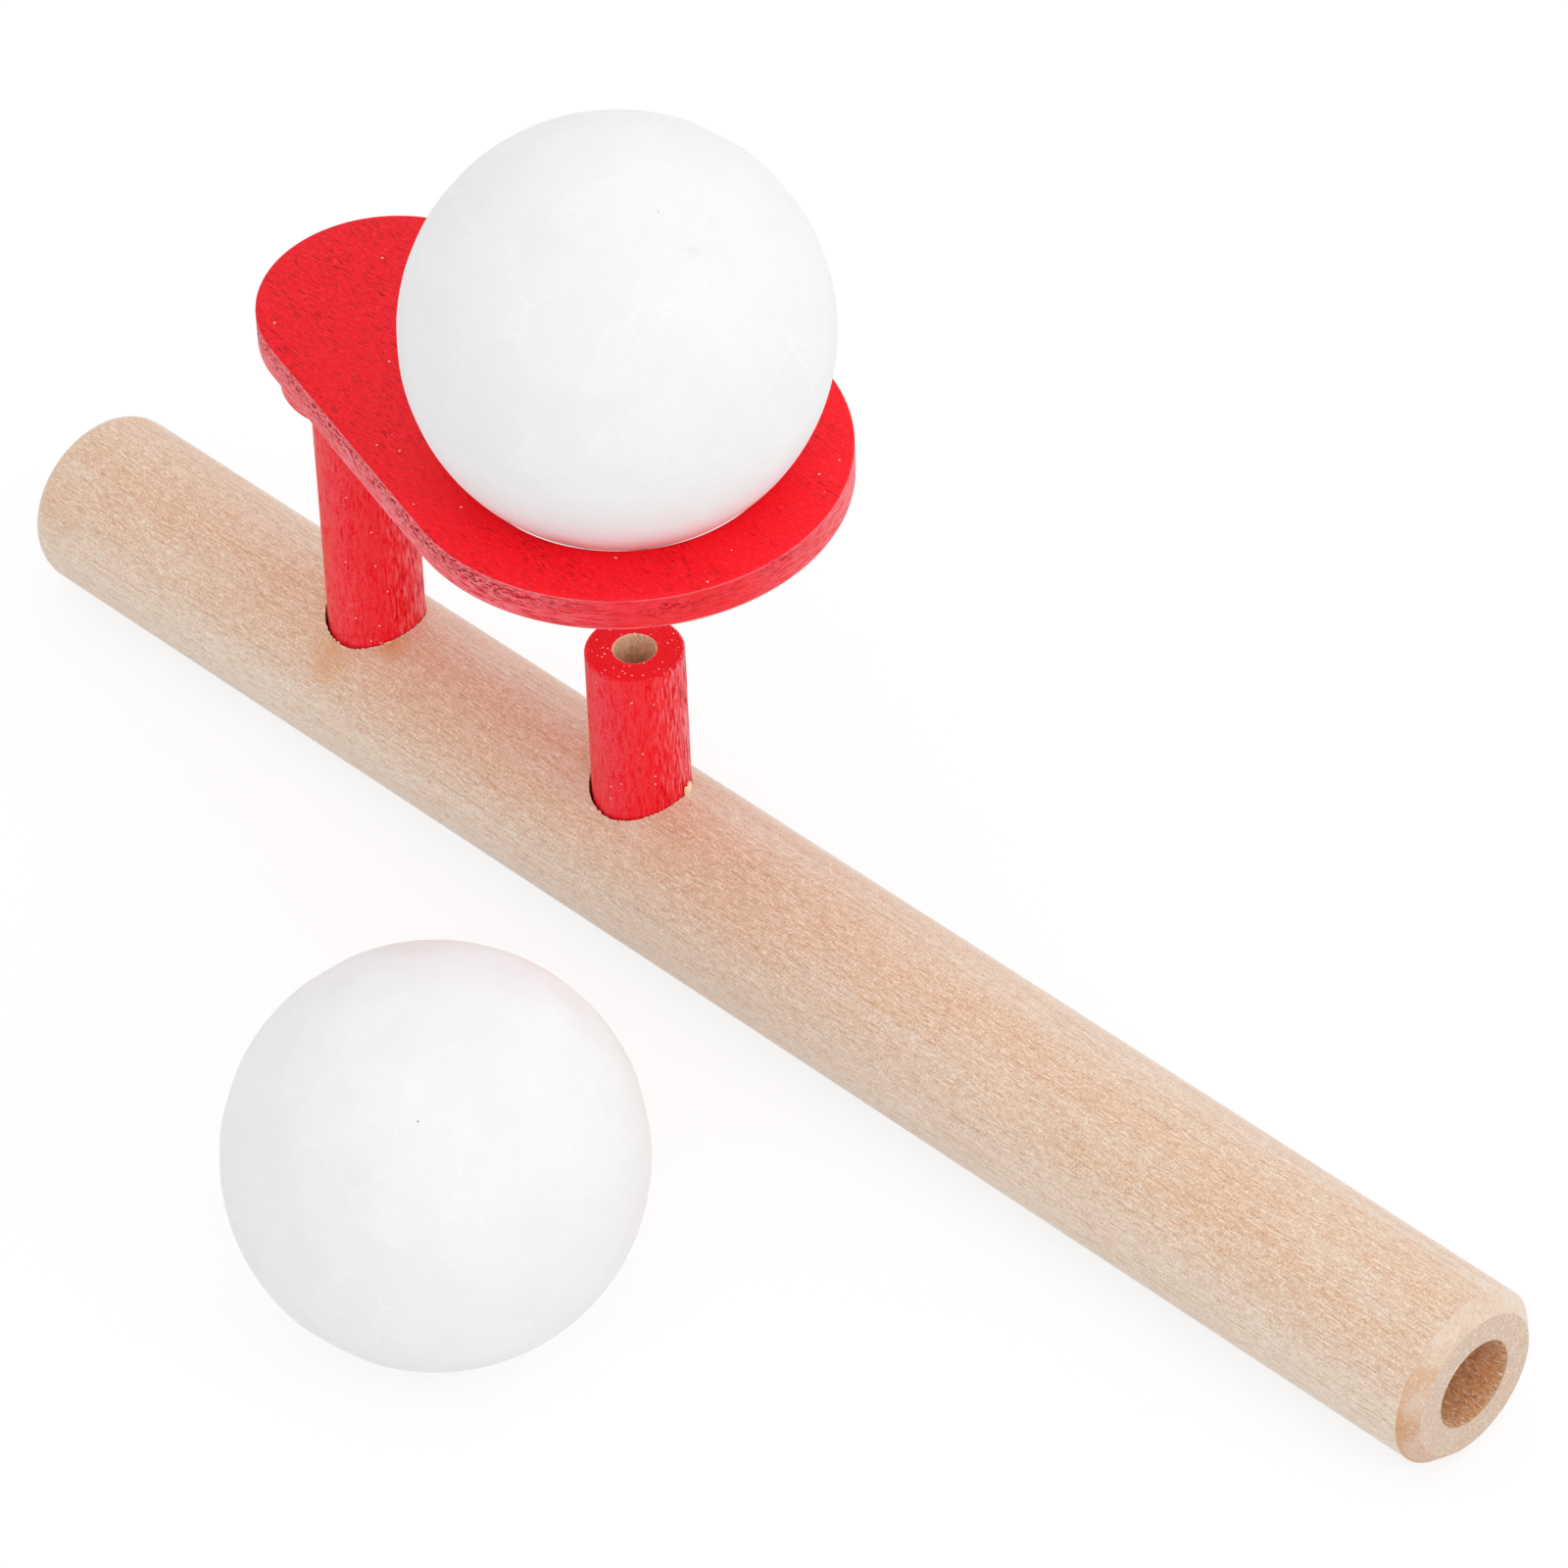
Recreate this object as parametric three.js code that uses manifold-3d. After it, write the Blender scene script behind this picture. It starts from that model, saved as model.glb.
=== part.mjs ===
import * as THREE from 'three';
import { mergeVertices } from 'three/addons/utils/BufferGeometryUtils.js';
import Module from 'manifold-3d';

// Blow ball pipe toy, in millimetres, +Z up.
// The origin lies on the flat under the pipe, straight below the air jet. +X points to the mouth end.

// Pipe: a turned stick with a blind air channel drilled from its mouth end
const pipeDiameter = 17.8;
const jetToMouthEnd = 104.5;
const jetToClosedEnd = 77.5;
const mouthChamfer = 1.5;
const closedEndRounding = 3;
const channelDiameter = 9;
const channelPastNozzle = 2;
const drillTipAngle = 118;
const restFlatWidth = 6;

// Dowels: the nozzle over the air channel and the post that carries the plate
const dowelDiameter = 9.5;
const dowelEdge = 0.3;
const nozzleBoreDiameter = 4.1;
const nozzleHeight = 16.4;
const nozzleLedge = 2;
const jetToPost = 36;
const postHeight = 28.6;
const postSocketDepth = 10;

// Collar: a drilled disc on top of the post
const collarDiameter = 14.8;
const collarThickness = 9;
const collarRounding = 0.6;

// Ball plate: the hull of a large round end at the hole and a small round end over the post
const plateThickness = 3.8;
const plateRimWidth = 6.7;
const seatDiameter = 29;
const jetToSmallEnd = 30.7;
const smallEndDiameter = 25.2;
const plateEdge = 0.4;

// Balls
const gameBallDiameter = 40;
const spareBallDiameter = 39.1;
const spareBallAlong = 23.5;
const spareBallAside = 50;

// Clearances
const socketGap = 0.3;
const glueFilm = 0.05;
const ballGap = 0.25;
const cutOverrun = 5;

// Numbers of facets
const pipeSides = 48;
const dowelSides = 32;
const outlineSteps = 24;
const roundingSteps = 5;
const ballSides = 36;
const ballRings = 18;

// Radii and levels that follow from the sizes above
const pipeRadius = pipeDiameter / 2;
const channelRadius = channelDiameter / 2;
const dowelRadius = dowelDiameter / 2;
const collarRadius = collarDiameter / 2;
const seatRadius = seatDiameter / 2;
const smallEndRadius = smallEndDiameter / 2;
const pipeAxis = Math.sqrt(pipeRadius ** 2 - (restFlatWidth / 2) ** 2);
const pipeTop = pipeAxis + pipeRadius;
const collarBottom = pipeTop + postHeight;
const collarTop = collarBottom + collarThickness;
const plateBottom = collarTop + glueFilm;
const plateTop = plateBottom + plateThickness;
const nozzleSocketFloor = pipeAxis + nozzleLedge;
const postSocketFloor = pipeTop - postSocketDepth;

const wasm = await Module();
wasm.setup();

// A closed three.js geometry as a solid that can be cut
function solidFrom(geometry) {
  const plain = geometry.clone();
  plain.deleteAttribute('normal');
  plain.deleteAttribute('uv');
  const merged = mergeVertices(plain);
  return new wasm.Manifold(new wasm.Mesh({
    numProp: 3,
    vertProperties: new Float32Array(merged.attributes.position.array),
    triVerts: new Uint32Array(merged.index.array),
  }));
}

// The solid's surface as a three.js geometry
function geometryFrom(solid) {
  const mesh = solid.getMesh();
  const geometry = new THREE.BufferGeometry();
  geometry.setAttribute('position', new THREE.BufferAttribute(mesh.vertProperties, mesh.numProp));
  geometry.setIndex(new THREE.BufferAttribute(mesh.triVerts, 1));
  geometry.computeVertexNormals();
  return geometry;
}

// A profile of [radius, height] points turned about the upright axis
function turned(profile, sides) {
  const points = profile.map(([radius, height]) => new THREE.Vector2(radius, height));
  return new THREE.LatheGeometry(points, sides).rotateX(Math.PI / 2);
}

// Quarter circle from angle to angle plus 90 degrees, as [radius, height] points of a profile
function quarterRound(centreRadius, centreHeight, size, startAngle) {
  return Array.from({ length: roundingSteps + 1 }, (_, step) => {
    const angle = startAngle + (step / roundingSteps) * (Math.PI / 2);
    return [centreRadius + size * Math.cos(angle), centreHeight + size * Math.sin(angle)];
  });
}

// A round cutter that stands on the floor level given and runs out over the pipe's top
function socketCutter(x, floor) {
  const height = pipeTop + cutOverrun - floor;
  const cutter = new THREE.CylinderGeometry(dowelRadius + socketGap, dowelRadius + socketGap, height, dowelSides);
  return solidFrom(cutter.rotateX(Math.PI / 2).translate(x, 0, floor + height / 2));
}

function pipeGeometry() {
  const channelEnd = -dowelRadius - socketGap - channelPastNozzle;
  const drillTip = channelRadius / Math.tan(THREE.MathUtils.degToRad(drillTipAngle / 2));
  const rounding = closedEndRounding;
  const profile = [
    [0, -jetToClosedEnd],
    ...quarterRound(pipeRadius - rounding, rounding - jetToClosedEnd, rounding, -Math.PI / 2),
    [pipeRadius, jetToMouthEnd - mouthChamfer],
    [pipeRadius - mouthChamfer, jetToMouthEnd],
    [channelRadius, jetToMouthEnd],
    [channelRadius, channelEnd],
    [0, channelEnd - drillTip],
  ];
  const stick = turned(profile, pipeSides).rotateY(Math.PI / 2).translate(0, 0, pipeAxis);
  const flat = new THREE.BoxGeometry(
    jetToMouthEnd + jetToClosedEnd + cutOverrun * 2,
    pipeDiameter,
    cutOverrun,
  ).translate((jetToMouthEnd - jetToClosedEnd) / 2, 0, -cutOverrun / 2);
  return geometryFrom(
    solidFrom(stick)
      .subtract(solidFrom(flat))
      .subtract(socketCutter(0, nozzleSocketFloor))
      .subtract(socketCutter(-jetToPost, postSocketFloor)),
  );
}

function nozzleGeometry() {
  const bore = nozzleBoreDiameter / 2;
  const bottom = nozzleSocketFloor + glueFilm;
  const top = pipeTop + nozzleHeight;
  return turned([
    [bore, bottom],
    [dowelRadius, bottom],
    [dowelRadius, top - dowelEdge],
    [dowelRadius - dowelEdge, top],
    [bore, top],
    [bore, bottom],
  ], dowelSides);
}

function postGeometry() {
  const bottom = postSocketFloor + glueFilm;
  return turned([
    [0, bottom],
    [dowelRadius - dowelEdge, bottom],
    [dowelRadius, bottom + dowelEdge],
    [dowelRadius, collarTop],
    [0, collarTop],
  ], dowelSides).translate(-jetToPost, 0, 0);
}

function collarGeometry() {
  const hole = dowelRadius + glueFilm;
  return turned([
    [hole, collarBottom],
    ...quarterRound(collarRadius - collarRounding, collarBottom + collarRounding, collarRounding, -Math.PI / 2),
    [collarRadius, collarTop],
    [hole, collarTop],
    [hole, collarBottom],
  ], dowelSides).translate(-jetToPost, 0, 0);
}

// Egg outline: two round ends joined by the straight lines that touch both
function ballPlateGeometry() {
  const largeEndRadius = seatRadius + plateRimWidth;
  const slope = Math.asin((largeEndRadius - smallEndRadius) / jetToSmallEnd);
  const touch = Math.PI / 2 + slope;
  const outline = new THREE.Shape();
  outline.absarc(0, 0, largeEndRadius, -touch, touch, false);
  outline.absarc(-jetToSmallEnd, 0, smallEndRadius, touch, 2 * Math.PI - touch, false);
  outline.closePath();
  outline.holes.push(new THREE.Path().absarc(0, 0, seatRadius, 0, 2 * Math.PI, true));
  const plate = new THREE.ExtrudeGeometry(outline, {
    depth: plateThickness - plateEdge * 2,
    bevelThickness: plateEdge,
    bevelSize: plateEdge,
    bevelOffset: -plateEdge,
    bevelSegments: 1,
    curveSegments: outlineSteps,
  });
  return plate.translate(0, 0, plateBottom + plateEdge);
}

// The ball's centre height where it keeps its gap to both corners of the hole's broken edge
function gameBallCentre() {
  const reach = gameBallDiameter / 2 + ballGap;
  const onLowerCorner = plateTop - plateEdge + Math.sqrt(reach ** 2 - seatRadius ** 2);
  const onUpperCorner = plateTop + Math.sqrt(reach ** 2 - (seatRadius + plateEdge) ** 2);
  return Math.max(onLowerCorner, onUpperCorner);
}

function ballGeometry(diameter) {
  return new THREE.SphereGeometry(diameter / 2, ballSides, ballRings).rotateX(Math.PI / 2);
}

const bareHardwood = new THREE.MeshStandardMaterial({ color: '#dcc1a2', roughness: 0.7, metalness: 0 });
const redPaint = new THREE.MeshStandardMaterial({ color: '#e0202f', roughness: 0.45, metalness: 0 });
const polystyreneFoam = new THREE.MeshStandardMaterial({ color: '#f2f2f3', roughness: 0.6, metalness: 0 });

const toy = new THREE.Group();

function addPiece(name, geometry, material) {
  const piece = new THREE.Mesh(geometry, material);
  piece.name = name;
  toy.add(piece);
  return piece;
}

addPiece('pipe', pipeGeometry(), bareHardwood);
addPiece('nozzle', nozzleGeometry(), redPaint);
addPiece('post', postGeometry(), redPaint);
addPiece('collar', collarGeometry(), redPaint);
addPiece('ball_plate', ballPlateGeometry(), redPaint);
addPiece('game_ball', ballGeometry(gameBallDiameter), polystyreneFoam).position.set(0, 0, gameBallCentre());
addPiece('spare_ball', ballGeometry(spareBallDiameter), polystyreneFoam)
  .position.set(spareBallAlong, -spareBallAside, spareBallDiameter / 2);

export default toy;
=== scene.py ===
import math

import bmesh
import bpy
import numpy as np
from mathutils import Matrix, Vector


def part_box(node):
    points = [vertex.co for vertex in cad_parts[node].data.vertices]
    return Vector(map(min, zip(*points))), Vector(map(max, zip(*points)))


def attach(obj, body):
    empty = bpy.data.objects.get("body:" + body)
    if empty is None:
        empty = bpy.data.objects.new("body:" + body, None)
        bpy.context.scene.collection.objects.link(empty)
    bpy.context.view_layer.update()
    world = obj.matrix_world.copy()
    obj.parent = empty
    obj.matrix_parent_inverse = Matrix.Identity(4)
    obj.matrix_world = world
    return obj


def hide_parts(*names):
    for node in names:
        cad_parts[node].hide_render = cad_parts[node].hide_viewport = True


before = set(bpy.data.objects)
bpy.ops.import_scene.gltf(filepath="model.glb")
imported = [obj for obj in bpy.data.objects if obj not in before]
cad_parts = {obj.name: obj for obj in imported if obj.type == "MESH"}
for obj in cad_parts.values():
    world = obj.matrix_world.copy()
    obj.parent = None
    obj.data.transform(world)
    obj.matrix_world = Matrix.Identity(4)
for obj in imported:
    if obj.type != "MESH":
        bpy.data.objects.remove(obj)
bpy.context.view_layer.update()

# Blow ball pipe toy: a turned hardwood pipe with a red nozzle, post, collar and ball plate, and two foam
# balls. The origin lies on the flat under the pipe, straight below the air jet. +X points to the mouth end,
# +Z up.

bl_info = {
    "name": "Blow Ball Pipe Toy",
    "version": (1, 0, 0),
    "blender": (4, 5, 0),
    "location": "3D View > Sidebar > Blow Pipe",
    "description": "Builds the wooden blow pipe, its painted parts and its foam balls",
    "category": "Add Mesh",
}

MM = 0.001

# Points round each turned piece, and the rows of a ball from pole to pole
PIPE_COLUMNS = 160
SOCKET_COLUMNS = 96
DOWEL_COLUMNS = 360
COLLAR_COLUMNS = 192
PLATE_COLUMNS = 480
BALL_COLUMNS = 320
BALL_ROWS = 161
TABLE_COLUMNS = 64

# Points closer than this are merged
MERGE_DISTANCE = MM / 1000

# Crease angles in degrees, of most pieces and of the balls, which have no crease
CREASE = 40
BALL_CREASE = 80

# Angles in degrees: where end grain gives way to side grain on the closed end's rounding, and the slope of
# the mouth's chamfer
GRAIN_LIMIT = 135
CHAMFER_SLOPE = 45

# Material slots of the pipe, of the dowels and the collar, and of the plate
SANDED, END_GRAIN, DRILLED, CHAMFER = range(4)
PAINTED, BARE, PAINTED_END = range(3)
FACE, EDGE = range(2)

# A slanting direction that no thread lies along
SLANT = (0.31, 0.53, 0.79)

# Seeds of the random draws
PIPE_SEED = 5
DOWEL_SEED = 11
GAME_BALL_SEED = 3
SPARE_BALL_SEED = 8

# Loose fibres in a drilled hole: how many, how deep the last ones start, and how long the longest is
CHANNEL_FIBRES = 280
CHANNEL_FIBRE_DEPTH = 9 * MM
CHANNEL_FIBRE_LENGTH = 1.1 * MM
NOZZLE_FIBRES = 160
NOZZLE_FIBRE_DEPTH = 4 * MM
NOZZLE_FIBRE_LENGTH = 0.5 * MM

# In both holes: points along a fibre, as along a sliver of the chip, how deep the first ones start, and their
# widths in millimetres
FIBRE_POINTS = 9
FIRST_DEPTH = 0.1 * MM
FIBRE_WIDTHS = (0.05, 0.1)

# Torn fibres on a socket's rim: how many, points along one, lengths and widths in millimetres, how far they
# reach over the gap, and how high they lie over the wood
RIM_FIBRES = 110
RIM_FIBRE_POINTS = 7
RIM_FIBRE_LENGTHS = (0.15, 0.5)
RIM_FIBRE_WIDTHS = (0.07, 0.14)
RIM_OVERHANG = 0.08 * MM
RIM_LIFT = 0.02 * MM

# Ridges of a dowel's grain: how many go round in each wave, in how many millimetres they waver and how far,
# in radians. Their patches: how many go round and how long one is.
RIDGE_COUNTS = (23, 37, 49, 61)
WAVER_LENGTHS = (2.2, 4.5)
WAVER_REACH = 1.3
PATCH_COUNT = 4
PATCH_LENGTH = 3.5 * MM

# Flattened spots of a ball: how many, how far they are drawn out of place, as a share of the ball's radius,
# and the power of the soft minimum
FLAT_SPOTS = 90
SPOT_SCATTER_SHARE = 0.06
SOFT_POWER = 500

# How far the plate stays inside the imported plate, so that its rounded outline doesn't stand out
PLATE_INSET = 0.01 * MM

# Stage, in metres: the table's radius and how far it lies under the toy, the point that the lamps face, and
# where each lamp stands and how wide it is
TABLE_RADIUS = 3
TABLE_DROP = 0.02 * MM
LAMP_AIM = Vector((0, 0, 0.03))
OVERHEAD_LAMP = ((0, 0, 1.2), 0.9)
KEY_LAMP = ((1, 0.1, 0.7), 0.5)
RIM_LAMP = ((0.1, 1.1, 0.7), 0.4)
FILL_LAMP = ((0.75, -0.73, 0.95), 0.9)

# Black and white, and the directions up, to the mouth end and to the post
BLACK = (0, 0, 0)
WHITE = (1, 1, 1)
UP = (0, 0, 1)
TO_MOUTH = (1, 0, 0)
TO_POST = (-1, 0, 0)

# What the camera sees of the table: grey card plus a glow, which make white in full light and keep a shadow
SHOWN_CARD = 0.22
SHOWN_GLOW = 0.8

# Camera: its sensor in millimetres and its near limit in metres
SENSOR_WIDTH = 36
NEAR_LIMIT = 0.01

# Input numbers of the Mix node when it mixes colours
MIX_FACTOR = 0
MIX_FIRST = 6
MIX_SECOND = 7

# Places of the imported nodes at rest
PIPE_LOW, PIPE_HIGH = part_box("pipe")
NOZZLE_LOW, NOZZLE_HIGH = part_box("nozzle")
POST_LOW, POST_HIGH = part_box("post")
COLLAR_LOW, COLLAR_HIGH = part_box("collar")
PLATE_LOW, PLATE_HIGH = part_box("ball_plate")

# Facts that follow from those places
PIPE_RADIUS = PIPE_HIGH.y
PIPE_AXIS = PIPE_HIGH.z - PIPE_RADIUS
DOWEL_RADIUS = NOZZLE_HIGH.y
POST_X = (POST_LOW.x + POST_HIGH.x) / 2
PLATE_TOP = PLATE_HIGH.z

# The camera's right, and the pipe's upper front, lower front and upper back sides, as directions on the toy
RIGHT_SIDE = (0.7, 0.72, 0)
FRONT_SIDE = (0, -0.6, 0.8)
LOW_SIDE = (0, -0.8, -0.6)
UPPER_BACK = (0, 0.7, 0.7)

# Marks on this one toy: glue and heat on the wood, and a smudge on the game ball
GLUE_MARK = (POST_X - 0.2 * MM, -0.7 * PIPE_RADIUS, PIPE_AXIS + 0.7 * PIPE_RADIUS)
GLUE_RUN = (POST_X + 4.8 * MM, -0.29 * PIPE_RADIUS, PIPE_AXIS + 0.96 * PIPE_RADIUS)
END_MARK = (PIPE_LOW.x + 4 * MM, -0.9 * PIPE_RADIUS, PIPE_AXIS + 0.4 * PIPE_RADIUS)
SMUDGE = (11.4 * MM, -1 * MM, PLATE_TOP + 30.1 * MM)

# Nick low on the post: its place, its rise for each length along the pipe, half its width, and the distances
# within which its line is full and past which it is gone
NICK = (POST_X + 1.3 * MM, -0.96 * DOWEL_RADIUS, PIPE_HIGH.z)
NICK_SLOPE = 0.4
NICK_HALF_WIDTH = 0.12 * MM
NICK_FULL = 2 * MM
NICK_GONE = 2.8 * MM

# Bands, each with its middle and half its width: the line where the chamfer starts, the torn pits of
# the plate's edge, and the light lines on its upper and lower arris, which are partly wear and partly
# painted highlight
CHAMFER_LINE = (PIPE_HIGH.x - 1.4 * MM, 0.3 * MM)
TORN_PITS = (PLATE_TOP - 1.2 * MM, 1.8 * MM)
UPPER_ARRIS_LINE = (PLATE_TOP - 0.32 * MM, 0.14 * MM)
LOWER_ARRIS_LINE = (PLATE_LOW.z + 0.2 * MM, 0.16 * MM)

# Chip torn out at the nozzle's foot: the turn of its first sliver, how deep that starts in the pipe, how far
# the slivers stand off the dowel and how wide they are, in millimetres, and for each one its turn from the
# first in radians and, in millimetres, how much deeper it starts and how high it is
CHIP_TURN = math.radians(24)
CHIP_DEPTH = 0.3 * MM
CHIP_GAPS = (0.1, 0.15)
CHIP_WIDTHS = (0.32, 0.38)
CHIP_SLIVERS = (
    (0, 0, 1.3), (0.06, 0, 1.5), (0.12, 0, 1.2), (0.18, 0, 1.35), (0.36, 0.1, 0.5), (0.46, 0.1, 0.4))


def linear(hex_code):
    """Linear red, green and blue of an sRGB hex code, by the standard's two-part curve."""
    channels = np.array([int(hex_code[place:place + 2], 16) for place in (1, 3, 5)]) / 255
    low = channels / 12.92
    high = ((channels + 0.055) / 1.055) ** 2.4
    return tuple(float(value) for value in np.where(channels <= 0.04045, low, high))


# Settings


def length(name, description, millimetres):
    return bpy.props.FloatProperty(
        name=name, description=description, default=millimetres * MM, min=0, precision=5, unit="LENGTH")


def share(name, description, value):
    return bpy.props.FloatProperty(
        name=name, description=description, default=value, min=0, max=1, subtype="FACTOR")


def angle(name, description, degrees):
    return bpy.props.FloatProperty(
        name=name, description=description, default=math.radians(degrees), subtype="ANGLE")


def power(name, description, watts):
    return bpy.props.FloatProperty(name=name, description=description, default=watts, min=0, unit="POWER")


def colour(name, description, hex_code):
    return bpy.props.FloatVectorProperty(
        name=name, description=description, default=linear(hex_code), min=0, max=1, size=3, subtype="COLOR")


class PipeSettings(bpy.types.PropertyGroup):
    channel_diameter: length("Channel diameter", "Hole drilled from the mouth end", 9)
    channel_past_nozzle: length("Channel past nozzle", "How far the drill went past the nozzle's socket", 2)
    drill_tip: angle("Drill tip", "Full angle of the cone that the drill left", 118)
    mouth_chamfer: length("Mouth chamfer", "Chamfer at the mouth end", 1.5)
    mouth_arris: length("Mouth arris", "Rounding that sanding gave the chamfer's edges", 0.25)
    end_rounding: length("End rounding", "Rounding of the closed end", 3)
    socket_clearance: length("Socket clearance", "Play round the nozzle, part of the channel's length", 0.3)
    socket_gap: length("Socket gap", "Gap that shows round a dowel where it enters the pipe", 0.15)
    socket_shift: length("Socket shift", "How far each socket lies to -X and -Y of its dowel", 0.1)
    glue_film: length("Glue film", "Glue under a dowel", 0.05)


class DowelSettings(bpy.types.PropertyGroup):
    nozzle_bore: length("Nozzle bore", "Diameter of the air hole through the nozzle", 4.1)
    edge_rounding: length("Edge rounding", "Rounding of the dowels' ends", 0.25)
    collar_rounding: length("Collar rounding", "Rounding of the collar's lower edge", 0.6)
    ridge_depth: length("Ridge depth", "Depth of the grain's upright ridges under the paint", 0.09)


class PlateSettings(bpy.types.PropertyGroup):
    seat_diameter: length("Seat diameter", "Hole that the ball lies in", 29)
    small_end_diameter: length("Small end diameter", "Round end over the post", 25.2)
    edge_rounding: length("Edge rounding", "Rounding of the plate's edges", 0.25)


class FoamSettings(bpy.types.PropertyGroup):
    bead_width: length("Bead width", "Typical width of the foam's fused beads", 5.5)
    game_ball_flats: length("Game ball flats", "Deepest flattened spot of the game ball", 0.14)
    spare_ball_flats: length("Spare ball flats", "Deepest flattened spot of the spare ball", 0.34)


class FinishSettings(bpy.types.PropertyGroup):
    pale_wood: colour("Pale wood", "Lightest bands of the sanded hardwood", "#e8dfd1")
    rosy_wood: colour("Rosy wood", "Pinker bands of the sanded hardwood", "#e0bb9c")
    pore_brown: colour("Pore brown", "Open pores of the hardwood", "#bb7c52")
    ray_fleck: colour("Ray fleck", "Light flecks of the hardwood's rays", "#ffefe0")
    end_grain: colour("End grain", "Sawn end of the hardwood", "#d3bda9")
    burnished_wood: colour("Burnished wood", "Chamfer, pressed smooth by the tool", "#d9b08d")
    drilled_wood: colour("Drilled wood", "Wall of the drilled channel", "#f6b67c")
    # Painted light: the nozzle's bore wall is made as pale as wood can be, standing in for light that reaches
    # into it
    bored_wood_with_painted_light: colour("Bored wood", "Wall of the nozzle's air hole", "#ffd9b2")
    fibre: colour("Fibre", "Loose fibres that the drill left", "#fbe9d0")
    warm_mark: colour("Warm mark", "Glue and heat marks on the wood", "#d99a5c")
    red_paint: colour("Red paint", "Full coat of paint", "#ff1022")
    # Thin paint also carries painted sheen: the dowels' paler peel on their grazing left side
    thin_paint_and_sheen: colour("Thin paint", "Paint that sank into sawn edges and raised grain", "#fb4557")
    # Worn paint also carries painted highlights and sheen: on the dowels' lit crests, the edge's grazing
    # sides and partly its arris lines
    worn_paint_and_highlight: colour("Worn paint", "Crests of the grain where the paint rubbed thin", "#ff7f89")
    # Deep paint also carries painted shade: on the plate face towards the post, in the dowels' valleys and
    # partly in the torn pits
    deep_paint_and_shade: colour("Deep paint", "Paint in pores and pits", "#9c0014")
    dust: colour("Dust", "Dust specks in the paint", "#fff0ee")
    foam: colour("Foam", "Foam beads", "#f4f4f5")
    foam_shade: colour("Foam shade", "Foam beads that are pressed denser", "#f0f0f1")
    foam_seam: colour("Foam seam", "Seams between the beads", "#f7f7f7")
    foam_speck: colour("Foam speck", "Dark specks in the foam", "#b4b4b0")


class StageSettings(bpy.types.PropertyGroup):
    azimuth: angle("Azimuth", "Camera's turn about the upright axis", 45.79)
    elevation: angle("Elevation", "Camera's height above the horizon", 42.73)
    roll: angle("Roll", "Camera's turn about its own axis", -2.38)
    distance: length("Distance", "From the camera to the point that it looks at", 907.43)
    target: bpy.props.FloatVectorProperty(
        name="Target", description="Point that the camera looks at",
        default=(19.21 * MM, 0, 28.43 * MM), subtype="TRANSLATION", unit="LENGTH")
    lens: bpy.props.FloatProperty(
        name="Lens", description="Focal length in millimetres on a 36 mm sensor", default=225, min=1)
    room_light: share("Room light", "Strength of the white room", 0.8)
    overhead_light: power("Overhead light", "Lamp over the table", 1.2)
    key_light: power("Key light", "Lamp to the right, in front", 1.7)
    rim_light: power("Rim light", "Lamp to the right, behind", 1.1)
    fill_light: power("Fill light", "Lamp over the camera", 1.7)


class ToySettings(bpy.types.PropertyGroup):
    pipe: bpy.props.PointerProperty(type=PipeSettings)
    dowels: bpy.props.PointerProperty(type=DowelSettings)
    plate: bpy.props.PointerProperty(type=PlateSettings)
    foam: bpy.props.PointerProperty(type=FoamSettings)
    finish: bpy.props.PointerProperty(type=FinishSettings)
    stage: bpy.props.PointerProperty(type=StageSettings)


# Shapes


def run(start, end, steps):
    """Straight stretch of a profile in even steps, as rows of [along, radius]."""
    return np.linspace(start, end, steps + 1)


def arc(centre, size, start, stop, steps):
    """Round stretch of a profile: centre plus size times cosine and sine, from one angle to the other in
    degrees."""
    turn = np.radians(np.linspace(start, stop, steps + 1))
    return np.stack([centre[0] + size * np.cos(turn), centre[1] + size * np.sin(turn)], axis=-1)


def joined(*stretches):
    """Stretches of (rows, slot) laid end to end. Gives all rows and the material slot of each."""
    rows = np.vstack([stretch for stretch, _ in stretches])
    slots = np.concatenate([np.full(len(stretch), slot) for stretch, slot in stretches])
    return rows, slots


def turned(profile, columns, axis):
    """A profile carried round an axis: along stays, and radius is spread over cosine and sine of the turn."""
    turn = np.linspace(0, 2 * math.pi, columns, endpoint=False)
    along = np.repeat(profile[:, :1], columns, axis=1)
    first = profile[:, 1:] * np.cos(turn)
    second = profile[:, 1:] * np.sin(turn)
    order = {"X": (along, first, second), "Z": (first, second, along)}[axis]
    return np.stack(order, axis=-1)


def quads_of(rows, columns, wrap_rows):
    """Corner numbers of the quads over a grid whose columns close into a ring."""
    index = np.arange(rows * columns).reshape(rows, columns)
    if wrap_rows:
        index = np.vstack([index, index[:1]])
    right = np.roll(index, -1, axis=1)
    return np.stack([index[:-1], right[:-1], right[1:], index[1:]], axis=-1).reshape(-1, 4)


def piece_from(name, points, quads, slots, materials, crease=CREASE):
    """Mesh object from points and quads. Equal points are merged, and faces are turned outwards and shaded
    smooth."""
    mesh = bpy.data.meshes.new(name)
    mesh.from_pydata(points.reshape(-1, 3).tolist(), [], quads.tolist())
    mesh.polygons.foreach_set("material_index", np.asarray(slots, dtype=np.int32))
    shape = bmesh.new()
    shape.from_mesh(mesh)
    bmesh.ops.remove_doubles(shape, verts=shape.verts, dist=MERGE_DISTANCE)
    bmesh.ops.recalc_face_normals(shape, faces=shape.faces)
    shape.to_mesh(mesh)
    shape.free()
    for material in materials:
        mesh.materials.append(material)
    shade(mesh, crease)
    piece = bpy.data.objects.new(name, mesh)
    bpy.context.scene.collection.objects.link(piece)
    return piece


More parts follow.
